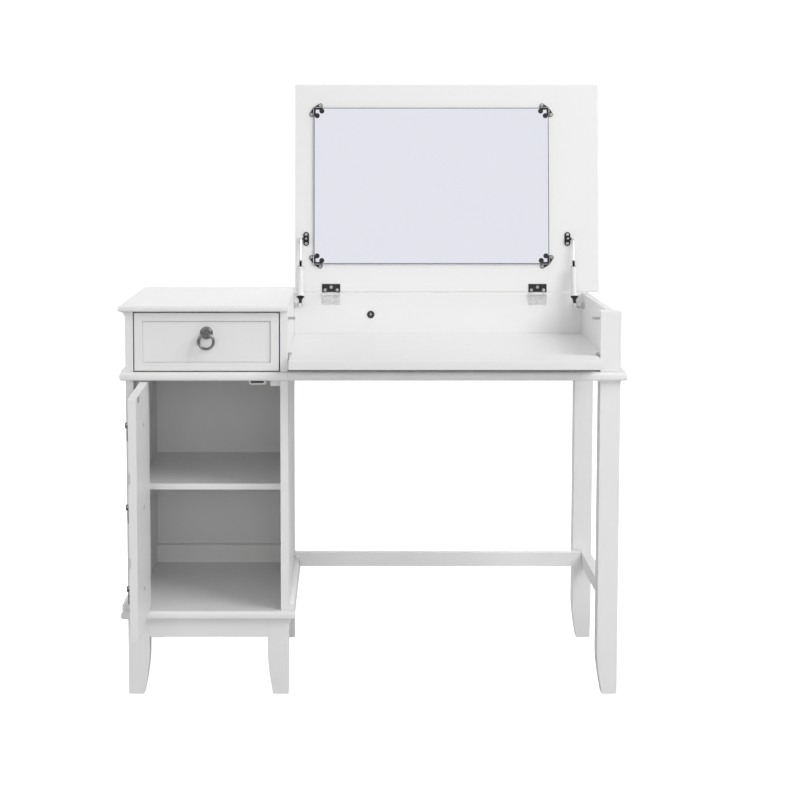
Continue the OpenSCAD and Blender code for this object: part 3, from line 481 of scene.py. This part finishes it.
def slit_membrane(name, node, petals=6, thick=0.0006):
    """The grommet's thin rubber skin, slit into petals that bend aside for a cable."""
    low, high = (Vector(corner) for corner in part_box(node))
    centre = (low + high) / 2
    rim_width, eye, slit = 0.0034, 0.0004, 0.02
    bore = (high.x - low.x) / 2 - rim_width
    form = bmesh.new()
    for petal in range(petals):
        middle = math.tau * (petal + 0.5) / petals
        half = math.pi / petals - slit
        swings = [middle + half * step / 4 for step in range(-4, 5)]
        rim = [(eye * math.cos(middle), eye * math.sin(middle))]
        rim += [(bore * math.cos(swing), bore * math.sin(swing)) for swing in swings]
        skins = []
        for y in (-thick / 2, thick / 2):
            skins.append([form.verts.new(centre + Vector((x, y, z))) for x, z in rim])
        front, back = skins
        form.faces.new(front)
        form.faces.new(back)
        for i in range(len(rim)):
            j = (i + 1) % len(rim)
            form.faces.new((front[i], front[j], back[j], back[i]))
    rubber = moulded_plastic("slit_rubber", (0.016, 0.016, 0.017, 1), (0.030, 0.030, 0.031, 1), (0.6, 0.75))
    add_piece(name, form, rubber, "root")


slit_membrane("cable_membrane", "cable_grommet")

# ---- Drawer ---------------------------------------------------------------------------------------
# A plain box of pale softwood boards with a thin bottom, behind a lacquered front with a sunk field.
# It runs on two bare hardwood runners fixed to the cabinet sides.


def make_wood_effect():
    """Planed wood: growth lines drawn out along the grain, short pores and a slow change of tone."""
    effect, nodes, links, given, out = new_effect(
        "planed_wood",
        (("Early Wood", "color", (0.7, 0.55, 0.4, 1)), ("Late Wood", "color", (0.5, 0.35, 0.2, 1)),
         ("Along", "place", (1, 1, 1)), ("Line Pitch", "number", 90.0)),
        (("Color", "color"), ("Roughness", "number"), ("Height", "number")))
    places = nodes.new("ShaderNodeTexCoord")
    stretch = nodes.new("ShaderNodeVectorMath")
    stretch.operation = "MULTIPLY"
    links.new(places.outputs["Object"], stretch.inputs[0])
    links.new(given.outputs["Along"], stretch.inputs[1])
    drawn = stretch.outputs["Vector"]
    line = nodes.new("ShaderNodeTexNoise")
    line.inputs["Detail"].default_value = 3.0
    links.new(given.outputs["Line Pitch"], line.inputs["Scale"])
    links.new(drawn, line.inputs["Vector"])
    pore = place_noise(nodes, links, drawn, 700.0, 2.0, 0.5)
    tone = place_noise(nodes, links, places.outputs["Object"], 7.0, 2.0)
    rings = remap(nodes, links, line.outputs["Fac"], 0.35, 0.68, 0.0, 1.0)
    pores = remap(nodes, links, pore, 0.52, 0.75, 0.0, 0.45)
    dark = reckon(nodes, links, "ADD", reckon(nodes, links, "MULTIPLY", rings, 0.7), pores)
    slow = reckon(nodes, links, "ADD", dark, remap(nodes, links, tone, 0.3, 0.7, -0.1, 0.15))
    links.new(mix_colour(nodes, links, slow, given.outputs["Early Wood"], given.outputs["Late Wood"]),
              out.inputs["Color"])
    links.new(remap(nodes, links, dark, 0.0, 1.0, 0.48, 0.68), out.inputs["Roughness"])
    links.new(reckon(nodes, links, "SUBTRACT", 1.0, dark), out.inputs["Height"])
    return effect


wood_effect = make_wood_effect()


def planed_wood(name, early, late, along, pitch=90.0):
    finish, nodes, links, shader = new_finish(name)
    grain = nodes.new("ShaderNodeGroup")
    grain.node_tree = wood_effect
    grain.inputs["Early Wood"].default_value = early
    grain.inputs["Late Wood"].default_value = late
    grain.inputs["Along"].default_value = along
    grain.inputs["Line Pitch"].default_value = pitch
    links.new(grain.outputs["Color"], shader.inputs["Base Color"])
    links.new(grain.outputs["Roughness"], shader.inputs["Roughness"])
    bump = nodes.new("ShaderNodeBump")
    bump.inputs["Distance"].default_value = 0.00012
    links.new(grain.outputs["Height"], bump.inputs["Height"])
    links.new(bump.outputs["Normal"], shader.inputs["Normal"])
    return finish


runner_wood = planed_wood("runner_wood", (0.56, 0.40, 0.25, 1), (0.36, 0.22, 0.12, 1), (1, 0.05, 1), 160)
dress("drawer_runners", runner_wood)
soften("drawer_runners", 0.0006)
side_wood = planed_wood("drawer_side_wood", (0.70, 0.58, 0.42, 1), (0.52, 0.39, 0.25, 1), (1, 0.06, 1))
dress("drawer_sides", side_wood)
soften("drawer_sides", 0.0006)
back_wood = planed_wood("drawer_back_wood", (0.70, 0.58, 0.42, 1), (0.52, 0.39, 0.25, 1), (0.06, 1, 1))
dress("drawer_back", back_wood)
soften("drawer_back", 0.0006)
dress("drawer_bottom", back_wood)
soften("drawer_bottom", 0.0004)
drawer_lacquer = white_lacquer("drawer_lacquer", board=(4.4, 8.2, 6.0), wear=0.5)
dress("drawer_front", drawer_lacquer)
soften("drawer_front", 0.0006)

# ---- Ring pulls -----------------------------------------------------------------------------------
# Four cast pulls in antique nickel: a turned rosette and post, and a bent-wire ring hung through the
# post. One is on the drawer, three are on the door.

antique_nickel = worked_metal("antique_nickel", (0.34, 0.33, 0.32, 1), (0.03, 0.03, 0.03, 1), 0.9, 0.14, 0.36)
for node in ("drawer_pull_base", "door_pull_bases"):
    dress(node, antique_nickel)
    soften(node, 0.0003)
for node in ("drawer_ring", "door_ring_top", "door_ring_middle", "door_ring_bottom"):
    dress(node, antique_nickel)
    soften(node, 0)

# ---- Door -----------------------------------------------------------------------------------------
# One thick panel cut to look like three drawer fronts. It turns on two steel pins. A magnet and a
# strike plate hold it shut, and a stop block sits just behind its top corner.

door_lacquer = white_lacquer("door_lacquer", board=(6.6, 5.1, 8.7), wear=0.5)
dress("door_panel", door_lacquer)
soften("door_panel", 0.0006)
dress("stop_block", case_lacquer)
soften("stop_block", 0.0006)
for node in ("door_hardware", "pivot_pins"):
    dress(node, zinc_steel)
    soften(node, 0.0002)
catch_plastic = moulded_plastic("catch_plastic", (0.70, 0.69, 0.66, 1), (0.62, 0.61, 0.58, 1))
dress("door_catch", catch_plastic)
soften("door_catch", 0.0006)
magnet_iron = worked_metal("magnet_iron", (0.12, 0.12, 0.12, 1), (0.05, 0.05, 0.05, 1), 0.5, 0.4, 0.6)
dress("catch_magnet", magnet_iron)
soften("catch_magnet", 0.0003)

# ---- Drop front -----------------------------------------------------------------------------------
# The flap that closes the front of the tray and turns down on two pins in its ends. Two small steel
# blocks stop it when it is up, and two more lie over its tail when it is down.

flap_lacquer = white_lacquer("flap_lacquer", board=(8.8, 0.9, 9.9), wear=0.5)
dress("drop_front", flap_lacquer)
soften("drop_front", 0.0008)
dress("panel_catches", zinc_steel)
soften("panel_catches", 0.0002)

# ---- Lid and mirror -------------------------------------------------------------------------------
# The lid is one lacquered board. A silvered mirror lies on its inner face, held at each corner by a
# dark pressed clip and its screws, and edged with a thin ground and painted line.

lid_lacquer = white_lacquer("lid_lacquer", board=(2.9, 7.3, 1.6), wear=0.4)
dress("lid_board", lid_lacquer)
soften("lid_board", 0.0008)


def silvered_mirror():
    """Float glass over silver: sharp, a little smeared, and tinted lavender as a painted reflection of the
    lavender-grey backdrop it shows.
    """
    finish, nodes, links, shader = new_finish("silvered_mirror")
    places = nodes.new("ShaderNodeTexCoord")
    smear = place_noise(nodes, links, places.outputs["Object"], 9.0, 4.0, 0.6)
    # Painted reflection: the lavender tint in the base colour stands for the lavender-grey backdrop the
    # mirror reflects.
    links.new(mix_colour(nodes, links, smear, (0.86, 0.865, 0.93, 1), (0.88, 0.885, 0.945, 1)),
              shader.inputs["Base Color"])
    links.new(remap(nodes, links, smear, 0.3, 0.8, 0.012, 0.05), shader.inputs["Roughness"])
    shader.inputs["Metallic"].default_value = 1.0
    return finish


dress("mirror_glass", silvered_mirror())
soften("mirror_glass", 0.0015, 1)
dark_plated = worked_metal("dark_plated", (0.055, 0.055, 0.055, 1), (0.012, 0.012, 0.012, 1), 0.6, 0.3, 0.5)
dress("mirror_clips", dark_plated)
soften("mirror_clips", 0.0002)
# Its hollows go near black through the occlusion mask: painted shade in the screw sockets.
bright_screw = worked_metal("bright_screw", (0.72, 0.72, 0.71, 1), (0.01, 0.01, 0.01, 1), 1.0, 0.22, 0.4)
dress("lid_screws", bright_screw)
soften("lid_screws", 0.00015)

joint = {j["name"]: j for j in frame["joints"]}
hinge_line = Vector((0, *joint["lid_hinge"]["pos_m"][1:]))
lid_lean = math.radians(8)
lid_up = Vector((0, math.sin(lid_lean), math.cos(lid_lean)))
lid_out = Vector((0, -math.cos(lid_lean), math.sin(lid_lean)))


def on_lid(across, up, out):
    """A point of the open lid: across the desk, up from the hinge line, and out from the inner face."""
    return Vector((across, 0, 0)) + hinge_line + lid_up * up + lid_out * out


def lid_span(node):
    """How far a piece of the lid reaches across, up and out, as three pairs of low and high."""
    board = frame["nodes"][node]
    spots = [board.matrix_world @ corner.co - hinge_line for corner in board.data.vertices]
    across = [spot.x for spot in spots]
    up = [spot.dot(lid_up) for spot in spots]
    out = [spot.dot(lid_out) for spot in spots]
    return [(min(way), max(way)) for way in (across, up, out)]


glass_across, glass_up, glass_out = lid_span("mirror_glass")
face_out = glass_out[1]


def lay_glass_edge(width=0.0014, thick=0.00012):
    """The ground and painted edge of the glass, seen as a thin dark line round it."""
    form = bmesh.new()
    layers = []
    for out in (face_out - thick, face_out + thick):
        for inset in (0.0, width):
            left, right = glass_across[0] + inset, glass_across[1] - inset
            low, high = glass_up[0] + inset, glass_up[1] - inset
            corners = ((left, low), (right, low), (right, high), (left, high))
            layers.append([form.verts.new(on_lid(across, up, out)) for across, up in corners])
    back_outer, back_inner, front_outer, front_inner = layers
    for first, second in ((back_outer, back_inner), (front_outer, front_inner), (back_outer, front_outer),
                          (back_inner, front_inner)):
        for i in range(4):
            form.faces.new((first[i], first[(i + 1) % 4], second[(i + 1) % 4], second[i]))
    edge_paint = moulded_plastic("edge_paint", (0.10, 0.105, 0.11, 1), (0.06, 0.06, 0.065, 1),
                                 rough=(0.3, 0.4), grain=0.00001)
    add_piece("mirror_ground_edge", form, edge_paint, "lid")


lay_glass_edge()


def fold_bead(name, across, up, turn, rise, reach=0.0175, radius=0.0007):
    """The worn, bright bend of a corner clip: a round bead that runs both ways from the corner."""
    form = bmesh.new()
    offset, clip_rise, sides = 0.0008, 0.0011, 10
    path = ((reach, -offset), (-offset, -offset), (-offset, reach))
    loops = []
    for step, (along, beside) in enumerate(path):
        loop = []
        for i in range(sides):
            swing = math.tau * i / sides
            side, lift = radius * math.cos(swing), radius * math.sin(swing)
            shift = ((0, side), (side, side), (side, 0))[step]
            x, y = along + shift[0], beside + shift[1]
            loop.append(form.verts.new(on_lid(across + turn * x, up + rise * y, face_out + clip_rise + lift)))
        loops.append(loop)
    for first, second in zip(loops, loops[1:]):
        for i in range(sides):
            form.faces.new((first[i], first[(i + 1) % sides], second[(i + 1) % sides], second[i]))
    form.faces.new(loops[0])
    form.faces.new(loops[-1])
    add_piece(name, form, bright_screw, "lid")


fold_bead("clip_bend_low_left", glass_across[0], glass_up[0], 1, 1)
fold_bead("clip_bend_low_right", glass_across[1], glass_up[0], -1, 1)
fold_bead("clip_bend_high_left", glass_across[0], glass_up[1], 1, -1)
fold_bead("clip_bend_high_right", glass_across[1], glass_up[1], -1, -1)

# ---- Lid hinges and stays -------------------------------------------------------------------------
# Two butt hinges carry the lid. Two telescopic stays, each an off-white tube and a polished rod, join
# steel brackets at the tray's ends to oval plates screwed to the lid.

bright_hinge = worked_metal("bright_hinge", (0.90, 0.90, 0.89, 1), (0.40, 0.40, 0.39, 1), 0.5, 0.28, 0.45,
                            grain=(1, 0.1, 1))


def band(nodes, links, way, start, fade):
    """1 below a place along a direction through the piece, 0 beyond it, and a short fade between."""
    places = nodes.new("ShaderNodeTexCoord")
    along = nodes.new("ShaderNodeVectorMath")
    along.operation = "DOT_PRODUCT"
    along.inputs[1].default_value = way
    links.new(places.outputs["Object"], along.inputs[0])
    return remap(nodes, links, along.outputs["Value"], start, start + fade, 1.0, 0.0)


def blackened_leaf():
    """A leaf blackened where it lies on the lid, with its knuckle left bright."""
    finish = worked_metal("blackened_leaf", (0.055, 0.055, 0.055, 1), (0.012, 0.012, 0.012, 1), 0.6, 0.3, 0.5)
    nodes, links = finish.node_tree.nodes, finish.node_tree.links
    shader = nodes["Principled BSDF"]
    knuckle_reach, fade = 0.0042, 0.0004
    bare = band(nodes, links, lid_up, hinge_line.dot(lid_up) + knuckle_reach, fade)
    plated = shader.inputs["Base Color"].links[0].from_socket
    links.new(mix_colour(nodes, links, bare, plated, (0.90, 0.90, 0.89, 1)), shader.inputs["Base Color"])
    return finish


dress("hinge_lid_leaves", blackened_leaf())
soften("hinge_lid_leaves", 0.0003)
for node in ("hinge_fixed_leaves", "hinge_hardware"):
    dress(node, bright_hinge)
    soften(node, 0.0003)
dress("stay_brackets", zinc_steel)
soften("stay_brackets", 0.0003)
dress("stay_plates", dark_plated)
soften("stay_plates", 0.0003)
stay_paint = moulded_plastic("stay_paint", (0.80, 0.80, 0.80, 1), (0.74, 0.74, 0.74, 1),
                             rough=(0.25, 0.35), grain=0.00001)
for node in ("stay_cylinder_left", "stay_cylinder_right"):
    dress(node, stay_paint)
    soften(node, 0.0003)


def polished_rod(reach, run, pivot, tube_end):
    """Ground and polished rod, bright where it is clean and black with grease next to the tube."""
    finish = worked_metal("polished_rod", (0.93, 0.93, 0.93, 1), (0.8, 0.8, 0.8, 1), 0.3, 0.25, 0.4)
    nodes, links = finish.node_tree.nodes, finish.node_tree.links
    shader = nodes["Principled BSDF"]
    film = band(nodes, links, run, pivot.dot(run) + tube_end + reach, 0.004)
    clean = shader.inputs["Base Color"].links[0].from_socket
    links.new(mix_colour(nodes, links, film, clean, (0.012, 0.012, 0.012, 1)), shader.inputs["Base Color"])
    return finish


def turn_piece(name, profile, at, axis, finish, body, sides=40):
    """A turned piece: a profile of radii and heights spun round an axis through a point."""
    form = bmesh.new()
    corners = [form.verts.new((radius, 0, height)) for radius, height in profile]
    edges = [form.edges.new(pair) for pair in zip(corners, corners[1:] + corners[:1])]
    bmesh.ops.spin(form, geom=corners + edges, cent=(0, 0, 0), axis=(0, 0, 1), angle=math.tau, steps=sides,
                   use_merge=True)
    bmesh.ops.remove_doubles(form, verts=form.verts, dist=0.000001)
    tilt = Vector((0, 0, 1)).rotation_difference(Vector(axis)).to_matrix().to_4x4()
    bmesh.ops.transform(form, matrix=Matrix.Translation(at) @ tilt, verts=form.verts)
    add_piece(name, form, finish, body, rounded=0.00015)


plate_up = sum(lid_span("stay_plates")[1]) / 2
stud_out = lid_span("stay_plates")[2][1]
disc_along, nut_along, sleeve_along = 0.0178, 0.0142, 0.0050
stud_inward = 0.0115
for side, inward in (("left", 1), ("right", -1)):
    pivot = Vector(joint[f"stay_{side}_turn"]["pos_m"])
    run = Vector(joint[f"stay_{side}_slide"]["axis"]).normalized()
    tube_body = f"stay_{side}_tube"
    tube = frame["nodes"][f"stay_cylinder_{side}"]
    top = max((tube.matrix_world @ corner.co - pivot).dot(run) for corner in tube.data.vertices)
    dress(f"stay_rod_{side}", polished_rod(0.013, run, pivot, top))
    soften(f"stay_rod_{side}", 0.0002)
    collar = ((0.0028, 0), (0.0066, 0), (0.0066, 0.0012), (0.0050, 0.0017), (0.0028, 0.0017))
    turn_piece(f"stay_{side}_seal", collar, pivot + run * top, run, dark_plastic, tube_body)
    disc = ((0.0030, 0), (0.0080, 0), (0.0084, 0.0008), (0.0084, 0.0022), (0.0030, 0.0022))
    turn_piece(f"stay_{side}_end_disc", disc, pivot + run * disc_along, run, dark_plated, tube_body)
    nut = ((0.0030, 0), (0.0052, 0), (0.0052, 0.0036), (0.0030, 0.0036))
    turn_piece(f"stay_{side}_nut", nut, pivot + run * nut_along, run, dark_plated, tube_body, 6)
    sleeve = ((0.0030, 0), (0.0034, 0), (0.0034, 0.0092), (0.0030, 0.0092))
    turn_piece(f"stay_{side}_sleeve", sleeve, pivot + run * sleeve_along, run, dark_plated, tube_body)
    rivet = ((0.0, -0.0004), (0.0020, -0.0004), (0.0020, 0.0004), (0.0014, 0.0009), (0.0, 0.0011))
    stud_at = on_lid(pivot.x + inward * stud_inward, plate_up, stud_out)
    turn_piece(f"stay_{side}_rivet", rivet, stud_at, lid_out, bright_screw, "lid")
